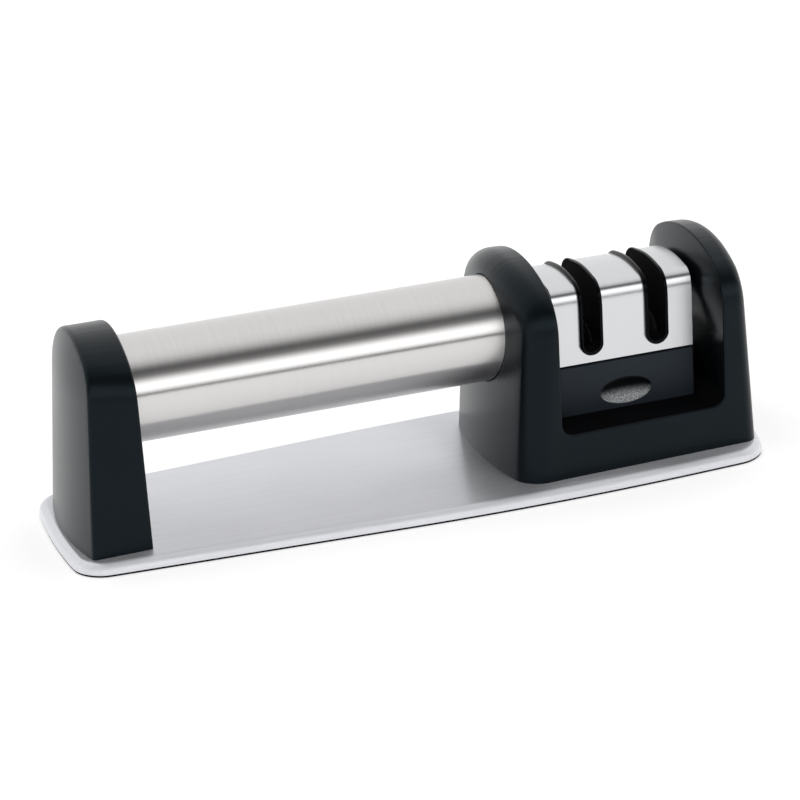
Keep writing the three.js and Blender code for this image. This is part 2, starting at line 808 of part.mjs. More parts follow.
for (const [name, centre] of Object.entries(slotCentres)) {
  const finish = name === 'coarse' ? diamondGrit : greyCeramic;
  const pair = new THREE.Group();
  pair.position.set(centre, 0, axleZ);
  cartridge.add(pair);
  addPiece(pair, `${name}_wheel_left`, wheel(-1), finish);
  addPiece(pair, `${name}_wheel_right`, wheel(1), finish);
  addPiece(pair, `${name}_spacer_left`, spacer(-1), innerPlastic);
  addPiece(pair, `${name}_spacer_right`, spacer(1), innerPlastic);
}

const axleHalf = axleReach - fit;
const axle = rod(axleRadius, -axleHalf, axleHalf, pinSides, 'x', origin);
addPiece(cartridge, 'wheel_axle', axle, darkSteel, vector(cartridgeX, 0, axleZ));

// Cartridge floor: a plate in the open bottom, with three tabs that hold the axle up in its notches
function cartridgeFloor() {
  const reach = axleReach - fit;
  const halfDepth = chamberRadius - fit;
  const top = seatZ + floorThickness - fit;
  const tabTop = axleZ - axleRadius - fit;
  let plate = box(cartridgeX - reach, cartridgeX + reach, -halfDepth, halfDepth, seatZ, top);
  const endTab = notchDepth - 2 * fit;
  const middleTab = partition / 2 - fit;
  const tabs = [
    [-reach, -reach + endTab],
    [-middleTab, middleTab],
    [reach - endTab, reach],
  ];
  for (const [x0, x1] of tabs) {
    plate = plate.add(box(cartridgeX + x0, cartridgeX + x1, -axleRadius, axleRadius, seatZ, tabTop));
  }
  for (const sign of [-1, 1]) {
    plate = plate.subtract(screwRoom(cartridgeScrew, cartridgeScrewPlace(sign)));
  }
  return plate;
}

addPiece(cartridge, 'cartridge_floor', cartridgeFloor(), innerPlastic);
for (const [name, sign] of [['cartridge_screw_front', -1], ['cartridge_screw_back', 1]]) {
  addPiece(cartridge, name, screw(cartridgeScrew), screwSteel, cartridgeScrewPlace(sign));
}

export default sharpener;
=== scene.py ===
"""Looks of a two-slot knife sharpener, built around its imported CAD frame."""
import math

import bmesh
import bpy
from mathutils import Euler, Matrix, Vector
from mathutils.geometry import intersect_point_line


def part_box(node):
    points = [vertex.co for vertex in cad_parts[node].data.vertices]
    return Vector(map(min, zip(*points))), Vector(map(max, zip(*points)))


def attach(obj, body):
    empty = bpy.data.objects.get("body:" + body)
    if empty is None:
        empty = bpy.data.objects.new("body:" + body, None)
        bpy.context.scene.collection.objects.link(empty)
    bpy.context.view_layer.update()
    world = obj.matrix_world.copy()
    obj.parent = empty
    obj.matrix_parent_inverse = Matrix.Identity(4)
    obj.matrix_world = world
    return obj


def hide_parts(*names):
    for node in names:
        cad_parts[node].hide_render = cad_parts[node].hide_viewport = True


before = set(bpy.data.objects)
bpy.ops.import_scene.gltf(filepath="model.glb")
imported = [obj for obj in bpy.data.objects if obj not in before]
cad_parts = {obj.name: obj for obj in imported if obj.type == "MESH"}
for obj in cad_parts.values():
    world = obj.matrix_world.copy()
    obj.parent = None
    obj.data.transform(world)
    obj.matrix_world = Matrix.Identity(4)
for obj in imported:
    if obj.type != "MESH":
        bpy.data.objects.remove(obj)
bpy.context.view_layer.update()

# Sizes are in millimetres, and every finished mesh is brought to metres
MM = 0.001
ORIGIN = Vector((0, 0, 0))
ALONG = Vector((1, 0, 0))
ACROSS = Vector((0, 1, 0))
UPWARD = Vector((0, 0, 1))

# How close two places are when they count as one, and how loosely the place of a face is tested
SAME = 1e-3
CUT_SNAP = 1e-4
SLACK = 0.01
# A face that looks squarely along an axis has at least this share of its normal there
SQUARE_ON = 0.99


def node_box(name):
    """Lowest and highest corner of a CAD node in millimetres"""
    low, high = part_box(name)
    return low / MM, high / MM


# Places that the pieces take from the frame
TRAY_LOW, TRAY_HIGH = node_box("base_plate")
PAD_LOW, PAD_HIGH = node_box("base_pad")
TUBE_LOW, TUBE_HIGH = node_box("handle_tube")
COVER_LOW, COVER_HIGH = node_box("cartridge_cover")
BODY_LOW, BODY_HIGH = node_box("cartridge_body")
TRAY_TOP = TRAY_HIGH.z
TUBE_AXIS = Vector((0, 0, (TUBE_LOW.z + TUBE_HIGH.z) / 2))
TUBE_RADIUS = (TUBE_HIGH.z - TUBE_LOW.z) / 2
CARTRIDGE_X = (BODY_LOW.x + BODY_HIGH.x) / 2

# Clearance between fitted pieces, and thickness of the sheet steel
FIT = 0.3
SHEET = 0.8

# Sizes of the base and the tube
TRAY = {"half_length": 102.8, "widest_at": 33.2, "side_radius": 700, "bow_half": 44.8}
TRAY_END_RADIUS = {"post": 200, "housing": 83}
TRAY_CORNER = {"post": 7.7, "housing": 6.8}
TRAY_ROLL = 2.4
TRAY_HOLLOW = 2.17
PAD_INSET = 0.1
PAD_EDGE = 0.2
TUBE_WALL = 1
TUBE_CHAMFER = 0.3

# Sizes of the post: an end face bows, leans by its draft, and curls over above a height
POST_END = {"half": 24, "foot": TRAY_TOP, "lean": 0.062, "top": 60.1, "shoulder": 12.3, "crown": 33}
POST_INNER = {**POST_END, "half": 23.5, "lean": 0.013}
POST_ENDS = (-100.1, -80)
POST_EDGES = (1, 0.8)
POST_FACES = (
    {"bow": 1 / 172, "draft": 0.09, "curl": 0.0125},
    {"bow": 0, "draft": -0.012, "curl": 0},
)
CURL_FROM = 45.6
# Slices across the width and at these heights let the flat faces bow, more of them where they curl
POST_COLUMNS = 20
POST_LEVELS = [12, 20, 28, 36, 42, CURL_FROM, 47.5, 49.5, 51.5, 53.5, 55.5, 57.5]

# Sizes of the housing and its cradle
HOUSING = {"half": 29, "foot": TRAY_TOP, "lean": 0.01, "top": 61.8, "shoulder": 13.4, "crown": 49.5}
HOUSING_ENDS = (22.1, 98.6)
HOUSING_EDGES = (6.4, 3.4)
HOUSING_FACES = (
    {"bow": 1 / 215, "draft": 0.076, "curl": 0},
    {"bow": -1 / 494, "draft": -0.065, "curl": 0},
)
HOUSING_COLUMNS = 20
CRADLE_ENDS = (37.1, 87.1)
CRADLE_FLOOR = 16.2
FILLET = 3.4
RIM = 0.6
WALL_FOOT = CRADLE_FLOOR + FILLET
# The housing narrows and drops by this much at its far end, and only its upper part drops
HOUSING_TAPER = 2.9
HOUSING_DROP = 0.7
DROP_FROM = CRADLE_FLOOR + 10
# The inner walls of both arms swell from their rim towards the cartridge, most of all near the top
SWELL_SLOPE = 0.267
SWELL_DEPTH = 3.2
SWELL_HEIGHTS = (37, 52)
WALL_COLUMNS = 38
WALL_ROWS = 28
WALL_STEP = 1.5
# The tube's sockets reach past the face that they open in, and the well reaches up past its mouth
SOCKET_PAST = 5
SOCKET_SIDES = 96
WELL_FLOOR = 10.2
WELL_HEIGHT = 12

# Sizes of the cartridge, its cover and its slots
COVER = {
    "half": 13.7, "foot": COVER_LOW.z, "lean": 0.01, "top": COVER_HIGH.z, "shoulder": 2.5, "crown": 60}
COVER_EDGE = 0.12
HAUNCH_FOOT = 45
HAUNCH_BEND = 0.01
HAUNCH_STEP = 0.6
HAUNCH_SLICES = 11
PANEL_TOP = 30.4
PANEL_HALF = {"top": 13.95, "floor": 14.376}
PANEL_LEAN = (PANEL_HALF["floor"] - PANEL_HALF["top"]) / (PANEL_TOP - CRADLE_FLOOR)
PANEL_EDGE = 0.5
CORE_OVERLAP = 1
RECESS_REACH = Vector((7.9, 1.9, 3.9))
RECESS_MIDDLE = Vector((CARTRIDGE_X, 14.23, CRADLE_FLOOR + 4.9))
# A slot is cut for its liner and is narrower inside it, and its cutter goes well past the cartridge
SLOT_CENTRES = {"coarse": 52.15, "fine": 72.05}
SLOT_BOTTOM = 33.6
SLOT_CUT = 3.15
SLOT_HALF = 2.45
SLOT_REACH = 25
SLOT_RISE = 10
# A liner's bead stands up from the cover and laps over the edge of its cut
BEAD = 0.9
BEAD_LAP = 0.4
BEAD_EDGE = 0.5
LIP_EDGE = 0.28
# The wheels of a slot turn in a round chamber about the axle
AXLE_HEIGHT = 29.9
CHAMBER_RADIUS = 10.6
CHAMBER_HALF = 7.55
CHAMBER_SIDES = 64
# A wheel's section, as (distance from the middle of its slot, radius)
WHEEL_SECTION = [(0.15, 2.3), (0.15, 3.4), (1.95, 9.2), (2.2, 9.5), (4.15, 9.5), (4.35, 9.3), (4.35, 2.3)]

# Camera at the place that the photograph was taken from, with its turns about X, Y and Z in degrees
CAMERA_PLACE = Vector((-244.37, -748.9, 337.88))
CAMERA_TURNS = (68.2434, 2.9555, -19.2098)

# Brightness of the studio by degrees above the front horizon: a strip, a dark gap, then the dome
STUDIO_LEVELS = [
    (0, 0.12), (3, 0.1), (6, 0.9), (10, 1.6), (17, 1.9), (26, 1.6), (34, 0.7), (40, 0.25), (51, 0.1),
    (58, 0.25), (66, 0.6), (78, 0.9), (95, 1.0), (180, 1.0),
]
# The ramp of the dome holds the levels as shares of this strength
STUDIO_STRENGTH = 2
FLOOR_RADIUS = 6000


def linear(colour):
    """A hex colour as seen on a screen, turned to the linear light that the shaders use"""
    levels = [int(colour[i:i + 2], 16) / 255 for i in (1, 3, 5)]
    return [v / 12.92 if v <= 0.04045 else ((v + 0.055) / 1.055) ** 2.4 for v in levels] + [1]


def add(tree, kind, inputs=None, **settings):
    """A node with its settings, its values and its links"""
    made = tree.nodes.new(kind)
    for key, value in settings.items():
        setattr(made, key, value)
    for socket, value in (inputs or {}).items():
        if isinstance(value, bpy.types.NodeSocket):
            tree.links.new(value, made.inputs[socket])
        else:
            made.inputs[socket].default_value = value
    return made


def shade(ramp, stops):
    """Colour stops of a ramp, given as (position, linear colour)"""
    colours = ramp.color_ramp.elements
    while len(colours) < len(stops):
        colours.new(1)
    for stop, (position, colour) in zip(colours, stops):
        stop.position = position
        stop.color = colour


def new_material(name):
    """An empty node material and its tree"""
    material = bpy.data.materials.new(name)
    material.use_nodes = True
    tree = material.node_tree
    tree.nodes.clear()
    return material, tree


def per_metre(size):
    """How often a pattern of this size in millimetres repeats in a metre"""
    return 1 / (size * MM)


BRUSH_MAP = "brush_map"


def brushed_stainless(name, light, dark, smooth, rough, line, stretch, bump, blur):
    """Stainless steel with fine brush lines: reflections smear across the lines, along the brush map.
    The real lines are about 0.05 mm apart, and they are drawn coarser so that they show."""
    line_depth = 0.02
    cloud = 30
    material, tree = new_material(name)
    place = add(tree, "ShaderNodeTexCoord").outputs["Object"]
    stretched = add(tree, "ShaderNodeMapping", {
        "Vector": place, "Scale": [per_metre(line * long) for long in stretch]})
    lines = add(tree, "ShaderNodeTexNoise", {
        "Vector": stretched.outputs[0], "Scale": 1, "Detail": 4, "Roughness": 0.65})
    clouds = add(tree, "ShaderNodeTexNoise", {"Vector": place, "Scale": per_metre(cloud), "Detail": 3})
    tone = add(tree, "ShaderNodeValToRGB", {"Fac": lines.outputs["Fac"]})
    shade(tone, [(0.3, linear(dark)), (0.7, linear(light))])
    gloss = add(tree, "ShaderNodeMapRange", {
        "Value": lines.outputs["Fac"],
        "From Min": 0.25, "From Max": 0.75, "To Min": smooth, "To Max": rough})
    hazy = add(tree, "ShaderNodeMapRange", {
        "Value": clouds.outputs["Fac"], "From Min": 0.3, "From Max": 0.7, "To Min": -0.02, "To Max": 0.02})
    gloss_sum = add(tree, "ShaderNodeMath", {0: gloss.outputs[0], 1: hazy.outputs[0]}, operation="ADD")
    relief = add(tree, "ShaderNodeBump", {
        "Height": lines.outputs["Fac"], "Strength": bump, "Distance": line_depth * MM})
    smear = add(tree, "ShaderNodeTangent", direction_type="UV_MAP", uv_map=BRUSH_MAP)
    surface = add(tree, "ShaderNodeBsdfPrincipled", {
        "Base Color": tone.outputs["Color"], "Metallic": 1, "Roughness": gloss_sum.outputs[0],
        "Anisotropic": blur, "Tangent": smear.outputs[0], "Normal": relief.outputs[0]})
    add(tree, "ShaderNodeOutputMaterial", {"Surface": surface.outputs[0]})
    return material


def moulded_plastic(name, light, dark, smooth, rough, grain, bump, facing, shine=0.5):
    """Plastic moulded in a spark-eroded tool: an even fine grain that turns gloss into satin.
    It is darkest where it is seen straight on, and pale where it is seen along the surface.
    The real grain is about 0.05 mm, and it is drawn coarser so that it shows close up."""
    grain_depth = 0.05
    flow_size = 25
    material, tree = new_material(name)
    place = add(tree, "ShaderNodeTexCoord").outputs["Object"]
    pits = add(tree, "ShaderNodeTexNoise", {"Vector": place, "Scale": per_metre(grain), "Detail": 2})
    flow = add(tree, "ShaderNodeTexNoise", {"Vector": place, "Scale": per_metre(flow_size), "Detail": 3})
    tone = add(tree, "ShaderNodeValToRGB", {"Fac": flow.outputs["Fac"]})
    shade(tone, [(0.35, linear(dark)), (0.65, linear(light))])
    gloss = add(tree, "ShaderNodeMapRange", {
        "Value": flow.outputs["Fac"], "From Min": 0.3, "From Max": 0.7, "To Min": smooth, "To Max": rough})
    relief = add(tree, "ShaderNodeBump", {
        "Height": pits.outputs["Fac"], "Strength": bump, "Distance": grain_depth * MM})
    surface = add(tree, "ShaderNodeBsdfPrincipled", {
        "Base Color": tone.outputs["Color"], "Roughness": gloss.outputs[0],
        "Specular IOR Level": shine, "Specular Tint": linear(facing), "Normal": relief.outputs[0]})
    add(tree, "ShaderNodeOutputMaterial", {"Surface": surface.outputs[0]})
    return material


def stipple_painted_light(name, light, dark, pip, bump, fade_from, fade_to):
    """Plastic with small pips for the thumb, whose tops are painted pale as painted glints where painted
    light falls.
    The painted light fades out towards the top of the recess, which stays near black there as painted
    shade, and pips of about 0.2 mm are drawn coarser."""
    pip_depth = 0.15
    material, tree = new_material(name)
    place = add(tree, "ShaderNodeTexCoord").outputs["Object"]
    height = add(tree, "ShaderNodeSeparateXYZ", {"Vector": place}).outputs["Z"]
    # Painted light: full on the lower part of the recess and gone at its top, which stays near black as
    # painted shade
    painted_light_share = add(tree, "ShaderNodeMapRange", {
        "Value": height, "From Min": fade_from * MM, "From Max": fade_to * MM, "To Min": 1, "To Max": 0},
        interpolation_type="SMOOTHSTEP")
    pips = add(tree, "ShaderNodeTexVoronoi", {"Vector": place, "Scale": per_metre(pip)})
    peaks = add(tree, "ShaderNodeMapRange", {
        "Value": pips.outputs["Distance"], "From Min": 0, "From Max": 0.7, "To Min": 1, "To Max": 0.35})
    # Painted glints: each pip's top is painted pale where the painted light reaches, and the pips' relief
    # follows it
    pip_peaks_painted_glint = add(tree, "ShaderNodeMath", {0: peaks.outputs[0], 1: painted_light_share.outputs[0]}, operation="MULTIPLY")
    tone = add(tree, "ShaderNodeValToRGB", {"Fac": pip_peaks_painted_glint.outputs[0]})
    shade(tone, [(0, linear(dark)), (1, linear(light))])
    relief = add(tree, "ShaderNodeBump", {
        "Height": pip_peaks_painted_glint.outputs[0], "Strength": bump, "Distance": pip_depth * MM})
    surface = add(tree, "ShaderNodeBsdfPrincipled", {
        "Base Color": tone.outputs["Color"], "Roughness": 0.4, "Specular Tint": linear("#8c949c"),
        "Normal": relief.outputs[0]})
    add(tree, "ShaderNodeOutputMaterial", {"Surface": surface.outputs[0]})
    return material


def cast_rubber(name):
    """Rubber sheet cast on a cloth-lined belt: matt black with a fine waffle that grips the table"""
    waffle_size = 2.4
    waffle_depth = 0.2
    dust_size = 6
    # The wave texture turns through this many radians in each unit of its scale
    wave_turn = 20
    wave_scale = math.tau / wave_turn * per_metre(waffle_size)
    material, tree = new_material(name)
    place = add(tree, "ShaderNodeTexCoord").outputs["Object"]
    waves = [
        add(tree, "ShaderNodeTexWave", {"Vector": place, "Scale": wave_scale}, bands_direction=way)
        for way in ("X", "Y")
    ]
    waffle = add(tree, "ShaderNodeMath", {
        0: waves[0].outputs["Fac"], 1: waves[1].outputs["Fac"]}, operation="MULTIPLY")
    dust = add(tree, "ShaderNodeTexNoise", {"Vector": place, "Scale": per_metre(dust_size), "Detail": 4})
    tone = add(tree, "ShaderNodeValToRGB", {"Fac": dust.outputs["Fac"]})
    shade(tone, [(0.3, linear("#050506")), (0.75, linear("#0d0d0f"))])
    relief = add(tree, "ShaderNodeBump", {
        "Height": waffle.outputs[0], "Strength": 0.6, "Distance": waffle_depth * MM})
    surface = add(tree, "ShaderNodeBsdfPrincipled", {
        "Base Color": tone.outputs["Color"], "Roughness": 0.85, "Specular Tint": linear("#5a5a5e"),
        "Normal": relief.outputs[0]})
    add(tree, "ShaderNodeOutputMaterial", {"Surface": surface.outputs[0]})
    return material


def plated_steel(name, light, dark):
    """Turned steel under a thin plated or oxide layer: metal with a faint cloudy bloom"""
    bloom_size = 1.5
    material, tree = new_material(name)
    place = add(tree, "ShaderNodeTexCoord").outputs["Object"]
    bloom = add(tree, "ShaderNodeTexNoise", {"Vector": place, "Scale": per_metre(bloom_size), "Detail": 4})
    tone = add(tree, "ShaderNodeValToRGB", {"Fac": bloom.outputs["Fac"]})
    shade(tone, [(0.3, linear(dark)), (0.7, linear(light))])
    gloss = add(tree, "ShaderNodeMapRange", {
        "Value": bloom.outputs["Fac"], "From Min": 0.3, "From Max": 0.7, "To Min": 0.22, "To Max": 0.4})
    surface = add(tree, "ShaderNodeBsdfPrincipled", {
        "Base Color": tone.outputs["Color"], "Metallic": 1, "Roughness": gloss.outputs[0]})
    add(tree, "ShaderNodeOutputMaterial", {"Surface": surface.outputs[0]})
    return material


def grit_face(name, light, dark, grit, metal, bump):
    """A grinding face: hard grains held in a bond, each one catching the light on its own.
    Grains of about 0.1 mm are drawn coarser so that they show."""
    grit_depth = 0.15
    material, tree = new_material(name)
    place = add(tree, "ShaderNodeTexCoord").outputs["Object"]
    grains = add(tree, "ShaderNodeTexVoronoi", {"Vector": place, "Scale": per_metre(grit)})
    tone = add(tree, "ShaderNodeValToRGB", {"Fac": grains.outputs["Color"]})
    shade(tone, [(0.2, linear(dark)), (0.8, linear(light))])
    gloss = add(tree, "ShaderNodeMapRange", {
        "Value": grains.outputs["Color"], "To Min": 0.35, "To Max": 0.75})
    relief = add(tree, "ShaderNodeBump", {
        "Height": grains.outputs["Distance"], "Strength": bump, "Distance": grit_depth * MM})
    surface = add(tree, "ShaderNodeBsdfPrincipled", {
        "Base Color": tone.outputs["Color"], "Metallic": metal, "Roughness": gloss.outputs[0],
        "Normal": relief.outputs[0]})
    add(tree, "ShaderNodeOutputMaterial", {"Surface": surface.outputs[0]})
    return material


# Brush lines are this many times longer than wide, along each axis
LENGTHWISE = (60, 1, 1)
ROUNDABOUT = (1, 40, 40)
tray_steel = brushed_stainless(
    "stainless_sheet_brushed", light="#eaebef", dark="#e0e1e5", smooth=0.32, rough=0.37,
    line=0.5, stretch=LENGTHWISE, bump=0.05, blur=0.97)
tube_steel = brushed_stainless(
    "stainless_tube_satin", light="#d5d3d2", dark="#d0cecd", smooth=0.22, rough=0.26,
    line=0.4, stretch=ROUNDABOUT, bump=0.015, blur=0.9)
cover_steel = brushed_stainless(
    "stainless_cover_satin", light="#d5d6d8", dark="#d1d2d4", smooth=0.24, rough=0.27,
    line=0.4, stretch=ROUNDABOUT, bump=0.006, blur=0.8)
black_abs = moulded_plastic(
    "abs_moulded_satin", light="#080b0e", dark="#05080a", smooth=0.27, rough=0.30,
    grain=0.35, bump=0.05, facing="#8094a0")
panel_abs = moulded_plastic(
    "abs_moulded_matt", light="#20262c", dark="#1b2126", smooth=0.42, rough=0.52,
    grain=0.3, bump=0.15, facing="#b4bec8")
liner_abs = moulded_plastic(
    "abs_moulded_gloss", light="#040406", dark="#030304", smooth=0.10, rough=0.16,
    grain=0.6, bump=0.02, facing="#5c6068")
inner_plastic = moulded_plastic(
    "polypropylene_moulded", light="#3a3b3e", dark="#2f3033", smooth=0.5, rough=0.6,
    grain=0.4, bump=0.15, facing="#c8c8c8")
# Recess finish: real pips, with painted light in the pale colour and painted shade in the near-black one
stipple_abs_painted_light = stipple_painted_light(
    "abs_stipple_painted_light", light="#dee1e4", dark="#030404", pip=0.45, bump=0.8,
    fade_from=18.2, fade_to=21.8)
# The insides of the slots and the floor of the cradle are left rough and dull, with a dim facing colour,
# as painted shade that swallows the light where they lie deep in shade
slot_painted_shade = moulded_plastic(
    "abs_rough_painted_shade", light="#0e0f11", dark="#090a0b", smooth=0.80, rough=0.90,
    grain=0.3, bump=0.2, facing="#303236", shine=0.1)
rubber = cast_rubber("rubber_cast_waffle")
zinc_steel = plated_steel("steel_zinc_plated", light="#b4b6ba", dark="#8f9195")
dark_steel = plated_steel("steel_black_oxide", light="#2a2b2d", dark="#1b1c1e")
diamond_grit = grit_face(
    "nickel_bonded_diamond", light="#4c4f54", dark="#26282b", grit=0.45, metal=1, bump=0.8)
grey_ceramic = grit_face(
    "carbide_ceramic_sintered", light="#2e2d2c", dark="#1c1b1b", grit=0.5, metal=0, bump=0.25)


def spun(bm, start, centre, axis, parts):
    """Draws an arc from a vertex in parts of (angle, steps), and gives its last vertex"""
    last = start
    for angle, steps in parts:
        arc = bmesh.ops.spin(
            bm, geom=[last], cent=centre, axis=axis, dvec=ORIGIN, angle=angle, steps=steps,
            use_merge=False, use_duplicate=False)
        last = next(v for v in arc["geom_last"] if isinstance(v, bmesh.types.BMVert))
    return last


def joined(bm, first, place):
    """A straight edge from a vertex to a new one"""
    second = bm.verts.new(place)
    bm.edges.new((first, second))
    return second


def pulled(bm, faces, way):
    """Faces extruded into a closed body"""
    made = bmesh.ops.extrude_face_region(bm, geom=faces)["geom"]
    bmesh.ops.translate(bm, vec=way, verts=[v for v in made if isinstance(v, bmesh.types.BMVert)])
    bmesh.ops.recalc_face_normals(bm, faces=bm.faces)


def rounded(bm, edges, radius, segments):
    """Rounds the edges that are given"""
    bmesh.ops.bevel(
        bm, geom=edges, offset=radius, offset_type="OFFSET", segments=segments, profile=0.5,
        affect="EDGES", clamp_overlap=False, material=-1)


def softened(bm, radius, segments, least_angle):
    """Rounds every edge that is sharper than an angle in degrees"""
    limit = math.radians(least_angle)
    sharp = [e for e in bm.edges if e.is_manifold and e.calc_face_angle() > limit]
    rounded(bm, sharp, radius, segments)


def lies_at(part, axis, place):
    """Whether all corners of an edge or a face are at one place along an axis"""
    return all(abs(v.co.dot(axis) - place) < SAME for v in part.verts)


def arch_outline(bm, arch, x, grow=0, foot=None):
    """An arch drawn over the length: a leaning side, a shoulder, the crown, and down again"""
    shoulder_steps = 12
    crown_steps = 16
    foot = arch["foot"] if foot is None else foot
    lean = arch["lean"]
    half = arch["half"] + grow + lean * (arch["foot"] - foot)
    shoulder = arch["shoulder"] + grow
    crown = arch["crown"] + grow
    crown_z = arch["top"] + grow - crown
    # The shoulder's arc touches the leaning side and, from inside, the crown's arc, and the height of
    # its centre is the upper root of a quadratic equation
    reach = half + lean * foot - shoulder * math.hypot(1, lean)
    a = 1 + lean ** 2
    b = -2 * (reach * lean + crown_z)
    c = reach ** 2 + crown_z ** 2 - (crown - shoulder) ** 2
    shoulder_z = (-b + math.sqrt(b ** 2 - 4 * a * c)) / (2 * a)
    shoulder_y = reach - lean * shoulder_z
    side_angle = math.atan(lean)
    crown_angle = math.atan2(shoulder_z - crown_z, shoulder_y)
    turn = crown_angle - side_angle
    start = bm.verts.new((x, half, foot))
    side_top = joined(bm, start, (
        x, shoulder_y + shoulder * math.cos(side_angle), shoulder_z + shoulder * math.sin(side_angle)))
    last = spun(bm, side_top, (x, shoulder_y, shoulder_z), ALONG, [(turn, shoulder_steps)])
    last = spun(bm, last, (x, 0, crown_z), ALONG, [(math.pi - 2 * crown_angle, crown_steps)])
    last = spun(bm, last, (x, -shoulder_y, shoulder_z), ALONG, [(turn, shoulder_steps)])
    joined(bm, last, (x, -half, foot))


def arch_block(arch, start, end, grow=0, foot=None):
    """A block with one arch all along"""
    bm = bmesh.new()
    arch_outline(bm, arch, start, grow, foot)
    bm.edges.new((bm.verts[:][-1], bm.verts[:][0]))
    cap = bm.faces.new(bm.verts)
    pulled(bm, [cap], ALONG * (end - start))
    return bm


def bridged_arches(near, near_x, far, far_x):
    """A block between two arches that differ in width and lean"""
    bm = bmesh.new()
    for arch, x in ((near, near_x), (far, far_x)):
        first = len(bm.verts)
        arch_outline(bm, arch, x)
        corners = bm.verts[:]
        bm.edges.new((corners[-1], corners[first]))
    bmesh.ops.bridge_loops(bm, edges=bm.edges[:])
    bmesh.ops.holes_fill(bm, edges=[e for e in bm.edges if e.is_boundary], sides=0)
    bmesh.ops.recalc_face_normals(bm, faces=bm.faces)
    return bm


def end_rim(bm, x, foot):
    """Edges round the end of an arch, without the one on the tray"""
    return [e for e in bm.edges if lies_at(e, ALONG, x) and any(v.co.z > foot + SAME for v in e.verts)]


def sliced(bm, axis, places):
    """Cuts new edges across the mesh at places along an axis"""
    for place in places:
        geom = bm.verts[:] + bm.edges[:] + bm.faces[:]
        bmesh.ops.bisect_plane(bm, geom=geom, dist=CUT_SNAP, plane_co=axis * place, plane_no=axis)


def columns(half, count):
    """Even places for slices across a width, without its two ends"""
    return [half * (2 * i / count - 1) for i in range(1, count)]


def round_bar(radius, start, end, axis, sides):
    """A round bar along the length"""
    bm = bmesh.new()
    turned = Matrix.Rotation(math.pi / 2, 4, "Y")
    middle = Matrix.Translation(axis + ALONG * (start + end) / 2)
    bmesh.ops.create_cone(
        bm, cap_ends=True, segments=sides, radius1=radius, radius2=radius, depth=end - start,
        matrix=middle @ turned)
    return bm


def box_block(low, high):
    """A plain block between two corners"""
    bm = bmesh.new()
    bmesh.ops.create_cube(bm, size=1)
    size = Vector(high) - Vector(low)
    bmesh.ops.scale(bm, vec=size, verts=bm.verts)
    bmesh.ops.translate(bm, vec=(Vector(high) + Vector(low)) / 2, verts=bm.verts)
    return bm


def slot_block(centre, half, bottom):
    """A slot with a round bottom, through the whole depth of the cartridge"""
    bottom_steps = 24
    bm = bmesh.new()
    top = COVER["top"] + SLOT_RISE
    start = bm.verts.new((centre - half, -SLOT_REACH, top))
    corner = joined(bm, start, (centre - half, -SLOT_REACH, bottom + half))
    last = spun(bm, corner, (centre, -SLOT_REACH, bottom + half), -ACROSS, [(math.pi, bottom_steps)])
    end = joined(bm, last, (centre + half, -SLOT_REACH, top))
    bm.edges.new((end, start))
    cap = bm.faces.new(bm.verts)
    pulled(bm, [cap], ACROSS * (2 * SLOT_REACH))
    return bm


def slot_blocks(half, bottom):
    """A slot of one size at both places"""
    return [slot_block(centre, half, bottom) for centre in SLOT_CENTRES.values()]


def chamber(centre):
    """The round space that a pair of wheels turns in"""
    return round_bar(
        CHAMBER_RADIUS, centre - CHAMBER_HALF, centre + CHAMBER_HALF, UPWARD * AXLE_HEIGHT, CHAMBER_SIDES)


def spun_ring(profile, axis, steps):
    """A closed profile of (place along the length, radius) turned about an axis"""
    bm = bmesh.new()
    points = [bm.verts.new(axis + Vector((x, 0, radius))) for x, radius in profile]
    edges = [bm.edges.new((a, b)) for a, b in zip(points, points[1:] + points[:1])]
    bmesh.ops.spin(
        bm, geom=points + edges, cent=axis, axis=ALONG, dvec=ORIGIN, angle=math.tau, steps=steps,
        use_merge=True, use_duplicate=False)
    bmesh.ops.remove_doubles(bm, verts=bm.verts, dist=SAME)
    bmesh.ops.recalc_face_normals(bm, faces=bm.faces)
    return bm


def carved(bm, cutters, operation="DIFFERENCE"):
    """The body after other bodies are cut from it, joined to it or laid over it"""
    made = []
    for part in [bm, *cutters]:
        mesh = bpy.data.meshes.new("carving")
        part.to_mesh(mesh)
        part.free()
        holder = bpy.data.objects.new("carving", mesh)
        bpy.context.scene.collection.objects.link(holder)
        made.append(holder)
    body = made[0]
    for cutter in made[1:]:
        cut = body.modifiers.new("cut", "BOOLEAN")
        cut.operation = operation
        cut.solver = "EXACT"
        cut.object = cutter
    bpy.context.view_layer.update()
    graph = bpy.context.evaluated_depsgraph_get()
    result = bmesh.new()
    result.from_mesh(body.evaluated_get(graph).data)
    for holder in made:
        mesh = holder.data
        bpy.data.objects.remove(holder)
        bpy.data.meshes.remove(mesh)
    bmesh.ops.remove_doubles(result, verts=result.verts, dist=SAME)
    bmesh.ops.dissolve_degenerate(result, edges=result.edges, dist=SAME)
    return result


def map_brushing(bm, smear_along):
    """Lays the brush map: its first axis runs the way that reflections smear, lengthwise or across"""
    # A face is an end face if more than this share of its normal is along the length
    end_facing = 0.8
    brush_map = bm.loops.layers.uv.new(BRUSH_MAP)
    for face in bm.faces:
        size = [abs(part) for part in face.normal]
        across = 2 if size[1] > size[2] else 1
        axes = (1, 2) if size[0] > end_facing else (0, across)
        if not smear_along:
            axes = axes[::-1]
        for loop in face.loops:
            loop[brush_map].uv = [loop.vert.co[axis] for axis in axes]


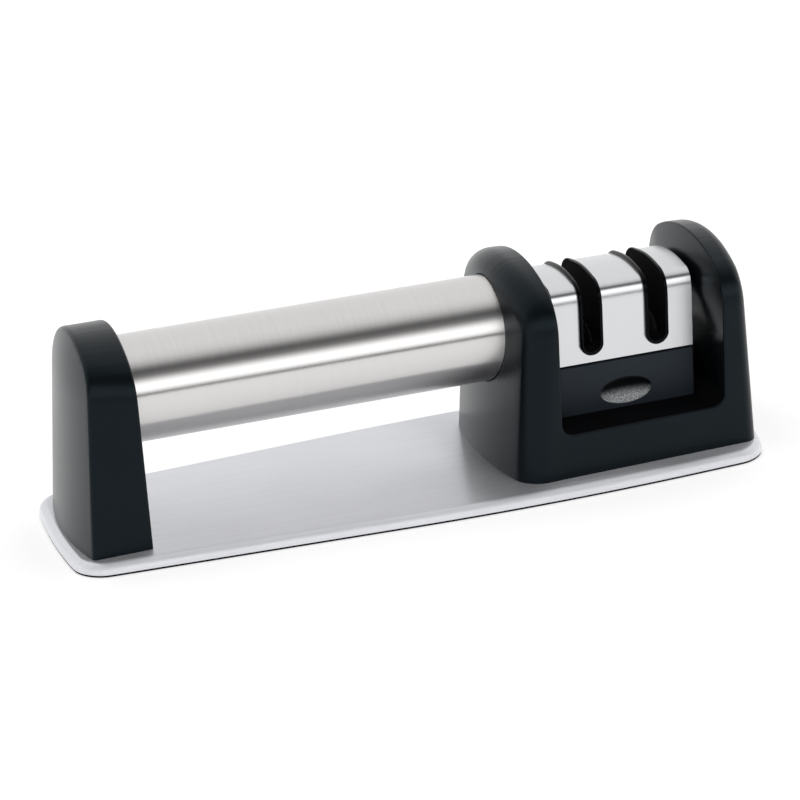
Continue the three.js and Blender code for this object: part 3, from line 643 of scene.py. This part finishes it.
def make_piece(bm, name, body, finishes, nodes):
    """A finished piece in metres, which rides on a body and stands for its CAD nodes"""
    sharp_angle = 38
    mesh = bpy.data.meshes.new(name)
    bmesh.ops.scale(bm, vec=(MM, MM, MM), verts=bm.verts)
    bm.to_mesh(mesh)
    bm.free()
    mesh.shade_smooth()
    mesh.set_sharp_from_angle(angle=math.radians(sharp_angle))
    for finish in finishes:
        mesh.materials.append(finish)
    piece = bpy.data.objects.new(name, mesh)
    bpy.context.scene.collection.objects.link(piece)
    even = piece.modifiers.new("even_shading", "WEIGHTED_NORMAL")
    even.keep_sharp = True
    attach(piece, body)
    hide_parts(*nodes)


def tray_corners(half_length, side_y, taper, end_radius, low):
    """Where the straight stretches of the tray's sides meet its bowed ends, found by closing in on them"""
    rounds = 20
    corners = {}
    for end, sign in (("post", -1), ("housing", 1)):
        radius = end_radius[end]
        y = side_y
        for _ in range(rounds):
            x = sign * (half_length - radius + math.sqrt(radius ** 2 - y ** 2))
            y = side_y - taper * (abs(x - TRAY["widest_at"]) - TRAY["bow_half"])
        corners[end] = Vector((x, y, low))
    return corners


def tray_block(inset, low, high):
    """The outline of the base: bowed ends, and sides that widen towards the housing"""
    end_steps = 16
    side_steps = 20
    # Length along a bowed end that is kept in one step, so that the rounding of the corner fits in it
    corner_step = 10
    half_length = TRAY["half_length"] - inset
    half_width = TRAY_HIGH.y - inset
    end_radius = {end: radius - inset for end, radius in TRAY_END_RADIUS.items()}
    taper = TRAY["bow_half"] / TRAY["side_radius"]
    side_turn = math.asin(taper)
    side_y = half_width - TRAY["side_radius"] * (1 - math.cos(side_turn))
    corners = tray_corners(half_length, side_y, taper, end_radius, low)
    bm = bmesh.new()
    start = bm.verts.new((corners["housing"].x, -corners["housing"].y, low))
    last = start
    corner_pairs = {"housing": [start], "post": []}
    for end, sign in (("housing", 1), ("post", -1)):
        radius = end_radius[end]
        if end == "post":
            last = joined(bm, last, corners["post"])
            corner_pairs["post"].append(last)
        first = corner_step / radius
        middle = 2 * math.asin(corners[end].y / radius) - 2 * first
        centre = Vector((sign * (half_length - radius), 0, low))
        last = spun(bm, last, centre, UPWARD, [(first, 1), (middle, end_steps), (first, 1)])
        corner_pairs[end].append(last)
        last = joined(bm, last, Vector((TRAY["widest_at"] + sign * TRAY["bow_half"], sign * side_y, low)))
        centre = Vector((TRAY["widest_at"], sign * (half_width - TRAY["side_radius"]), low))
        last = spun(bm, last, centre, UPWARD, [(2 * side_turn, side_steps)])
    bm.edges.new((last, start))
    bm.faces.new(bm.verts)
    for end, pair in corner_pairs.items():
        bmesh.ops.bevel(
            bm, geom=pair, offset=TRAY_CORNER[end] - inset / 2, offset_type="OFFSET", segments=10,
            profile=0.5, affect="VERTICES", clamp_overlap=False, material=-1)
    pulled(bm, bm.faces[:], UPWARD * (high - low))
    return bm


def level_rim(bm, z):
    """Edges at one height"""
    return [e for e in bm.edges if lies_at(e, UPWARD, z)]


def make_tray():
    """Steel tray with a rolled edge, open below like the pressed sheet it is"""
    tray = tray_block(0, TRAY_LOW.z, TRAY_TOP)
    rounded(tray, level_rim(tray, TRAY_TOP), TRAY_ROLL, segments=8)
    under = [f for f in tray.faces if f.normal.z < -SQUARE_ON]
    bmesh.ops.inset_region(tray, faces=under, thickness=SHEET, use_even_offset=True)
    bmesh.ops.translate(tray, vec=UPWARD * TRAY_HOLLOW, verts=under[0].verts)
    map_brushing(tray, smear_along=False)
    make_piece(tray, "steel_tray", "base", [tray_steel], ["base_plate"])


def make_pad():
    """Rubber pad under the tray"""
    pad = tray_block(PAD_INSET, PAD_LOW.z, PAD_HIGH.z)
    rounded(pad, level_rim(pad, PAD_LOW.z), PAD_EDGE, segments=2)
    make_piece(pad, "rubber_pad", "base", [rubber], ["base_pad"])


def make_tube():
    """Tube handle with a small chamfer at both cut ends"""
    tube = spun_ring([
        (TUBE_LOW.x, TUBE_RADIUS - TUBE_CHAMFER),
        (TUBE_LOW.x + TUBE_CHAMFER, TUBE_RADIUS),
        (TUBE_HIGH.x - TUBE_CHAMFER, TUBE_RADIUS),
        (TUBE_HIGH.x, TUBE_RADIUS - TUBE_CHAMFER),
        (TUBE_HIGH.x, TUBE_RADIUS - TUBE_WALL),
        (TUBE_LOW.x, TUBE_RADIUS - TUBE_WALL),
    ], TUBE_AXIS, steps=128)
    map_brushing(tube, smear_along=True)
    make_piece(tube, "satin_tube", "base", [tube_steel], ["handle_tube"])


def ramp_share(x, zero, one):
    """How far a place is from one mark to another, from 0 to 1"""
    return min(max((x - zero) / (one - zero), 0), 1)


def inside_edges(ends, edges):
    """The two ends of a block, less its rounded edges"""
    return ends[0] + edges[0], ends[1] - edges[1]


def end_shaped(bm, foot, faces, full_at, none_at):
    """Bows, leans and curls both end faces: each has its full shape at one place and none at another"""
    for vert in bm.verts:
        x, y, z = vert.co
        head = max(z - CURL_FROM, 0)
        for face, full, none in zip(faces, full_at, none_at):
            bend = face["bow"] * y ** 2 + face["draft"] * (z - foot) + face["curl"] * head ** 2
            vert.co.x += ramp_share(x, none, full) * bend


def make_post():
    """End post: an arch with a bowed, leaning end face that curls over at its head"""
    post = bridged_arches(POST_END, POST_ENDS[0], POST_INNER, POST_ENDS[1])
    for x, edge in zip(POST_ENDS, POST_EDGES):
        rounded(post, end_rim(post, x, POST_END["foot"]), edge, segments=4)
    sliced(post, ACROSS, columns(POST_END["half"], POST_COLUMNS))
    sliced(post, UPWARD, POST_LEVELS)
    shaped_at = inside_edges(POST_ENDS, POST_EDGES)
    end_shaped(post, POST_END["foot"], POST_FACES, shaped_at, shaped_at[::-1])
    socket = round_bar(
        TUBE_RADIUS + FIT, TUBE_LOW.x - FIT, POST_ENDS[1] + SOCKET_PAST, TUBE_AXIS, SOCKET_SIDES)
    post = carved(post, [socket])
    make_piece(post, "moulded_post", "base", [black_abs], ["end_post"])


def housing_block():
    """The arch of the housing with rounded ends, sliced where its cradle will be"""
    housing = arch_block(HOUSING, *HOUSING_ENDS)
    for x, edge in zip(HOUSING_ENDS, HOUSING_EDGES):
        rounded(housing, end_rim(housing, x, HOUSING["foot"]), edge, segments=8)
    sliced(housing, ACROSS, columns(HOUSING["half"], HOUSING_COLUMNS))
    sliced(housing, ALONG, CRADLE_ENDS)
    sliced(housing, UPWARD, [CRADLE_FLOOR])
    return housing


def in_cradle_wall(face):
    """Whether a face is part of the cradle's walls or floor, which hardly look to the front or back"""
    most_across = 0.02
    middle = face.calc_center_median()
    in_length = CRADLE_ENDS[0] - SLACK <= middle.x <= CRADLE_ENDS[1] + SLACK
    return abs(face.normal.y) < most_across and in_length


def open_cradle(housing):
    """Opens the U-shaped cradle, with a fillet at both ends of its floor and a rounded rim"""
    in_cradle = [
        f for f in housing.faces
        if CRADLE_ENDS[0] < f.calc_center_median().x < CRADLE_ENDS[1]
        and f.calc_center_median().z > CRADLE_FLOOR
    ]
    bmesh.ops.delete(housing, geom=in_cradle, context="FACES")
    floor_edges = []
    for x in CRADLE_ENDS:
        wall = [e for e in housing.edges if e.is_boundary and lies_at(e, ALONG, x)]
        feet = [v for e in wall for v in e.verts if abs(v.co.z - CRADLE_FLOOR) < SAME]
        across_floor = housing.edges.new(feet)
        floor_edges.append(across_floor)
        bmesh.ops.contextual_create(housing, geom=wall + [across_floor])
    sides = [e for e in housing.edges if e.is_boundary and e not in floor_edges]
    bmesh.ops.contextual_create(housing, geom=sides + floor_edges)
    bmesh.ops.recalc_face_normals(housing, faces=housing.faces)
    rounded(housing, floor_edges, FILLET, segments=6)
    rim = [
        e for e in housing.edges
        if len(e.link_faces) == 2 and in_cradle_wall(e.link_faces[0]) != in_cradle_wall(e.link_faces[1])
        and all(v.co.z > CRADLE_FLOOR - SLACK for v in e.verts)
    ]
    rounded(housing, rim, RIM, segments=4)


def gap_to(point, edges):
    """Distance from a point to the nearest of some straight edges"""
    gaps = []
    for start, end in edges:
        share = intersect_point_line(point, start, end)[1]
        gaps.append((point - start.lerp(end, min(max(share, 0), 1))).length)
    return min(gaps)


def swell_walls(housing):
    """Cuts the flat inner walls of the arms into a fine grid and swells them towards the cartridge"""
    for wall, inwards in zip(CRADLE_ENDS, (1, -1)):
        flat = [f for f in housing.faces if lies_at(f, ALONG, wall)]
        rim = [
            [v.co.copy() for v in e.verts] for f in flat for e in f.edges
            if any(v.co.z > WALL_FOOT + SLACK for v in e.verts)
            and any(g not in flat for g in e.link_faces)
        ]
        parts = list(dict.fromkeys(part for f in flat for part in [f, *f.edges, *f.verts]))
        cuts = [(ACROSS, y) for y in columns(HOUSING["half"], WALL_COLUMNS)]
        cuts += [(UPWARD, WALL_FOOT + WALL_STEP * step) for step in range(1, WALL_ROWS)]
        for axis, place in cuts:
            parts = bmesh.ops.bisect_plane(
                housing, geom=parts, dist=CUT_SNAP, plane_co=axis * place, plane_no=axis)["geom"]
        for vert in housing.verts:
            if abs(vert.co.x - wall) < SAME and vert.co.z > SWELL_HEIGHTS[0]:
                depth = min(SWELL_SLOPE * gap_to(vert.co, rim), SWELL_DEPTH)
                vert.co.x += inwards * depth * ramp_share(vert.co.z, *SWELL_HEIGHTS)


def taper_housing(housing):
    """Narrows the housing towards its far end and lowers its top there"""
    for vert in housing.verts:
        share = ramp_share(vert.co.x, *HOUSING_ENDS)
        vert.co.y *= 1 - share * HOUSING_TAPER / HOUSING["half"]
        if vert.co.z > DROP_FROM:
            vert.co.z -= share * HOUSING_DROP * (vert.co.z - DROP_FROM) / (HOUSING["top"] - DROP_FROM)


def make_housing():
    """Housing: an arch with a U-shaped cradle, a socket for the tube and a well for the cartridge"""
    # A face looks along an axis if more than this share of its normal is there
    looks_along = 0.05
    housing = housing_block()
    open_cradle(housing)
    swell_walls(housing)
    taper_housing(housing)
    shaped_at = inside_edges(HOUSING_ENDS, HOUSING_EDGES)
    flat_at = (CRADLE_ENDS[0] - RIM, CRADLE_ENDS[1] + RIM)
    end_shaped(housing, HOUSING["foot"], HOUSING_FACES, shaped_at, flat_at)
    socket = round_bar(
        TUBE_RADIUS + FIT, HOUSING_ENDS[0] - SOCKET_PAST, TUBE_HIGH.x + FIT, TUBE_AXIS, SOCKET_SIDES)
    well_reach = Vector((BODY_HIGH.x - CARTRIDGE_X + FIT, PANEL_HALF["floor"] + FIT, 0))
    well_middle = Vector((CARTRIDGE_X, 0, WELL_FLOOR))
    well = box_block(well_middle - well_reach, well_middle + well_reach + UPWARD * WELL_HEIGHT)
    housing = carved(housing, [socket, well])
    # The cradle's floor and fillets take the dim finish as painted shade
    for face in housing.faces:
        middle = face.calc_center_median()
        on_floor = CRADLE_ENDS[0] < middle.x < CRADLE_ENDS[1] and middle.z < WALL_FOOT
        if on_floor and face.normal.z > looks_along and abs(face.normal.y) < looks_along:
            face.material_index = 1
    make_piece(housing, "moulded_housing", "base", [black_abs, slot_painted_shade], ["housing"])


def haunched(bm):
    """Lets the sides of the cover's arch curve in more and more towards the fold at its top"""
    sliced(bm, UPWARD, [HAUNCH_FOOT + HAUNCH_STEP * step for step in range(HAUNCH_SLICES)])
    for vert in bm.verts:
        rise = max(vert.co.z - HAUNCH_FOOT, 0)
        vert.co.y *= 1 - HAUNCH_BEND * rise ** 3 / 3 / COVER["half"]
    return bm


def panel_block():
    """The panelled lower block of the cartridge, whose front and back lean a little"""
    panel = bmesh.new()
    outline = [
        (-PANEL_HALF["floor"], BODY_LOW.z), (PANEL_HALF["floor"], BODY_LOW.z),
        (PANEL_HALF["floor"], CRADLE_FLOOR), (PANEL_HALF["top"], PANEL_TOP),
        (-PANEL_HALF["top"], PANEL_TOP), (-PANEL_HALF["floor"], CRADLE_FLOOR),
    ]
    end_face = panel.faces.new([panel.verts.new((BODY_LOW.x, y, z)) for y, z in outline])
    pulled(panel, [end_face], ALONG * (BODY_HIGH.x - BODY_LOW.x))
    softened(panel, PANEL_EDGE, segments=3, least_angle=40)
    return panel


def recess(side):
    """The hollow for a thumb on one side of the panel"""
    bm = bmesh.new()
    bmesh.ops.create_uvsphere(bm, u_segments=64, v_segments=32, radius=1)
    bmesh.ops.scale(bm, vec=RECESS_REACH, verts=bm.verts)
    bmesh.ops.translate(bm, vec=RECESS_MIDDLE * Vector((1, side, 1)), verts=bm.verts)
    return bm


def shaft(centre):
    """The way from below into a wheel chamber"""
    return box_block(
        (centre - CHAMBER_HALF, -CHAMBER_RADIUS, 0), (centre + CHAMBER_HALF, CHAMBER_RADIUS, AXLE_HEIGHT))


def make_cartridge():
    """Cartridge body: a panelled block that stands in the well, with chambers for the wheels"""
    # How far the stippled faces may lie past the recess's floor, and how near to the panel they stop
    recess_past = 0.1
    recess_lip = 0.02
    # How deep the two end faces reach in
    end_depth = 1
    core = haunched(
        arch_block(COVER, COVER_LOW.x, COVER_HIGH.x, -SHEET - FIT, PANEL_TOP - CORE_OVERLAP))
    body = carved(panel_block(), [core], "UNION")
    cutters = [recess(side) for side in (-1, 1)] + slot_blocks(SLOT_CUT, SLOT_BOTTOM)
    cutters += [chamber(centre) for centre in SLOT_CENTRES.values()]
    cutters += [shaft(centre) for centre in SLOT_CENTRES.values()]
    body = carved(body, cutters)
    for face in body.faces:
        middle = face.calc_center_median()
        # Faces in the thumb recess take the finish with painted light and painted shade
        away = Vector((middle.x, abs(middle.y), middle.z)) - RECESS_MIDDLE
        in_oval = (away.x / RECESS_REACH.x) ** 2 + (away.z / RECESS_REACH.z) ** 2 < 1
        if in_oval and -RECESS_REACH.y - recess_past < away.y + PANEL_LEAN * away.z < -recess_lip:
            face.material_index = 1
        at_end = abs(middle.x - CARTRIDGE_X) > BODY_HIGH.x - CARTRIDGE_X - end_depth
        if at_end and abs(face.normal.x) > SQUARE_ON:
            face.material_index = 2
    make_piece(
        body, "moulded_cartridge", "cartridge", [panel_abs, stipple_abs_painted_light, black_abs],
        ["cartridge_body"])


def make_cover():
    """Steel cover folded over the cartridge"""
    cover = bmesh.new()
    arch_outline(cover, COVER, COVER_LOW.x)
    folded = bmesh.ops.extrude_edge_only(cover, edges=cover.edges)["geom"]
    bmesh.ops.translate(
        cover, vec=ALONG * (COVER_HIGH.x - COVER_LOW.x),
        verts=[v for v in folded if isinstance(v, bmesh.types.BMVert)])
    bmesh.ops.recalc_face_normals(cover, faces=cover.faces)
    if max(cover.faces, key=lambda f: f.calc_center_median().z).normal.z < 0:
        bmesh.ops.reverse_faces(cover, faces=cover.faces)
    haunched(cover)
    bmesh.ops.solidify(cover, geom=cover.faces, thickness=SHEET)
    cover = carved(cover, slot_blocks(SLOT_CUT, SLOT_BOTTOM))
    softened(cover, COVER_EDGE, segments=2, least_angle=50)
    map_brushing(cover, smear_along=True)
    make_piece(cover, "steel_cover", "cartridge", [cover_steel], ["cartridge_cover"])


def make_liner(name, centre):
    """Slot liner: a thin wall through the cartridge with a glossy bead over the edge of the steel"""
    bead_half = SLOT_CUT + BEAD_LAP
    bead_ends = (centre - bead_half, centre + bead_half)
    liner = arch_block(COVER, *bead_ends, grow=BEAD)
    for x in bead_ends:
        rounded(liner, end_rim(liner, x, COVER["foot"]), BEAD_EDGE, segments=4)
    haunched(liner)
    liner = carved(liner, [slot_block(centre, bead_half, SLOT_BOTTOM - BEAD_LAP)], "INTERSECT")
    inner_bottom = SLOT_BOTTOM + SLOT_CUT - SLOT_HALF
    liner = carved(liner, [slot_block(centre, SLOT_HALF, inner_bottom), chamber(centre)])
    softened(liner, LIP_EDGE, segments=3, least_angle=55)
    # The faces inside the slot take the dim finish as painted shade
    for face in liner.faces:
        middle = face.calc_center_median()
        in_slot = abs(middle.x - centre) < SLOT_HALF + 2 * SLACK
        if in_slot and abs(middle.y) < COVER["half"] and middle.z < COVER["top"]:
            face.material_index = 1
    make_piece(
        liner, name + "_slot_liner", "cartridge", [liner_abs, slot_painted_shade],
        ["slot_guide_" + name])


def make_wheels(name, centre):
    """Grinding wheels of a slot: two bevelled discs that leave a V between them"""
    finishes = {"coarse": ("coarse_grit", diamond_grit), "fine": ("fine_ceramic", grey_ceramic)}
    slot, material = finishes[name]
    axle = Vector((centre, 0, AXLE_HEIGHT))
    for side, sign in (("left", -1), ("right", 1)):
        wheel = spun_ring([(sign * x, radius) for x, radius in WHEEL_SECTION], axle, steps=72)
        node = name + "_wheel_" + side
        make_piece(wheel, name + "_disc_" + side, name + "_wheels", [material], [node])


def dress_inner_pieces():
    """Finishes of the CAD nodes that show as they are"""
    carried = {
        "base_core": inner_plastic,
        "tube_plug_post": inner_plastic,
        "tube_plug_housing": inner_plastic,
        "cartridge_floor": inner_plastic,
        "wheel_axle": dark_steel,
    }
    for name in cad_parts:
        if "screw" in name:
            carried[name] = zinc_steel
        if "spacer" in name:
            carried[name] = inner_plastic
    for name, material in carried.items():
        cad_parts[name].data.materials.clear()
        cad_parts[name].data.materials.append(material)


def lay_floor():
    """Pale floor: white to the camera and in reflections, with the soft shadow left on it"""
    floor_mesh = bpy.data.meshes.new("studio_floor")
    bm = bmesh.new()
    bmesh.ops.create_circle(bm, cap_ends=True, segments=96, radius=FLOOR_RADIUS * MM)
    bm.to_mesh(floor_mesh)
    bm.free()
    floor = bpy.data.objects.new("studio_floor", floor_mesh)
    bpy.context.scene.collection.objects.link(floor)
    paper, tree = new_material("paper_matt_white")
    rays = add(tree, "ShaderNodeLightPath")
    seen = add(tree, "ShaderNodeMath", {
        0: rays.outputs["Is Camera Ray"], 1: rays.outputs["Is Glossy Ray"]}, operation="MAXIMUM")
    seen = add(tree, "ShaderNodeMath", {
        0: seen.outputs[0], 1: rays.outputs["Is Transmission Ray"]}, operation="MAXIMUM")
    plain = add(tree, "ShaderNodeBsdfDiffuse", {"Color": linear("#e6e6e6")})
    glow = add(tree, "ShaderNodeEmission", {"Color": linear("#ffffff"), "Strength": 0.45})
    lifted = add(tree, "ShaderNodeAddShader", {0: plain.outputs[0], 1: glow.outputs[0]})
    mixed = add(tree, "ShaderNodeMixShader", {
        0: seen.outputs[0], 1: plain.outputs[0], 2: lifted.outputs[0]})
    add(tree, "ShaderNodeOutputMaterial", {"Surface": mixed.outputs[0]})
    floor_mesh.materials.append(paper)


def light_studio():
    """White studio dome with a bright strip low in front, and a dark gap between the strip and the dome"""
    half_turn = 180
    world = bpy.data.worlds.new("studio_dome")
    bpy.context.scene.world = world
    world.use_nodes = True
    tree = world.node_tree
    tree.nodes.clear()
    towards = add(tree, "ShaderNodeTexCoord").outputs["Generated"]
    parts = add(tree, "ShaderNodeSeparateXYZ", {"Vector": towards})
    ahead = add(tree, "ShaderNodeMath", {0: parts.outputs["Y"], 1: -1}, operation="MULTIPLY")
    angle = add(tree, "ShaderNodeMath", {0: parts.outputs["Z"], 1: ahead.outputs[0]}, operation="ARCTAN2")
    height = add(tree, "ShaderNodeMapRange", {
        "Value": angle.outputs[0], "From Min": 0, "From Max": math.pi, "To Min": 0, "To Max": 1})
    dome = add(tree, "ShaderNodeValToRGB", {"Fac": height.outputs[0]})
    shade(dome, [
        (degrees / half_turn, (level / STUDIO_STRENGTH,) * 3 + (1,)) for degrees, level in STUDIO_LEVELS])
    light = add(tree, "ShaderNodeBackground", {
        "Color": dome.outputs["Color"], "Strength": STUDIO_STRENGTH})
    add(tree, "ShaderNodeOutputWorld", {"Surface": light.outputs[0]})


def set_camera():
    """Camera with a long lens, at the photograph's viewing angle"""
    camera_data = bpy.data.cameras.new("camera")
    camera_data.sensor_width = 36
    camera_data.lens = 135.9
    camera_data.clip_start = 0.01
    camera = bpy.data.objects.new("camera", camera_data)
    bpy.context.scene.collection.objects.link(camera)
    turns = Euler([math.radians(angle) for angle in CAMERA_TURNS])
    camera.matrix_world = Matrix.LocRotScale(CAMERA_PLACE * MM, turns, None)
    bpy.context.scene.camera = camera


make_tray()
make_pad()
make_tube()
make_post()
make_housing()
make_cartridge()
make_cover()
for slot_name, slot_centre in SLOT_CENTRES.items():
    make_liner(slot_name, slot_centre)
for slot_name, slot_centre in SLOT_CENTRES.items():
    make_wheels(slot_name, slot_centre)
dress_inner_pieces()
lay_floor()
light_studio()
set_camera()
bpy.context.scene.view_settings.view_transform = "Standard"
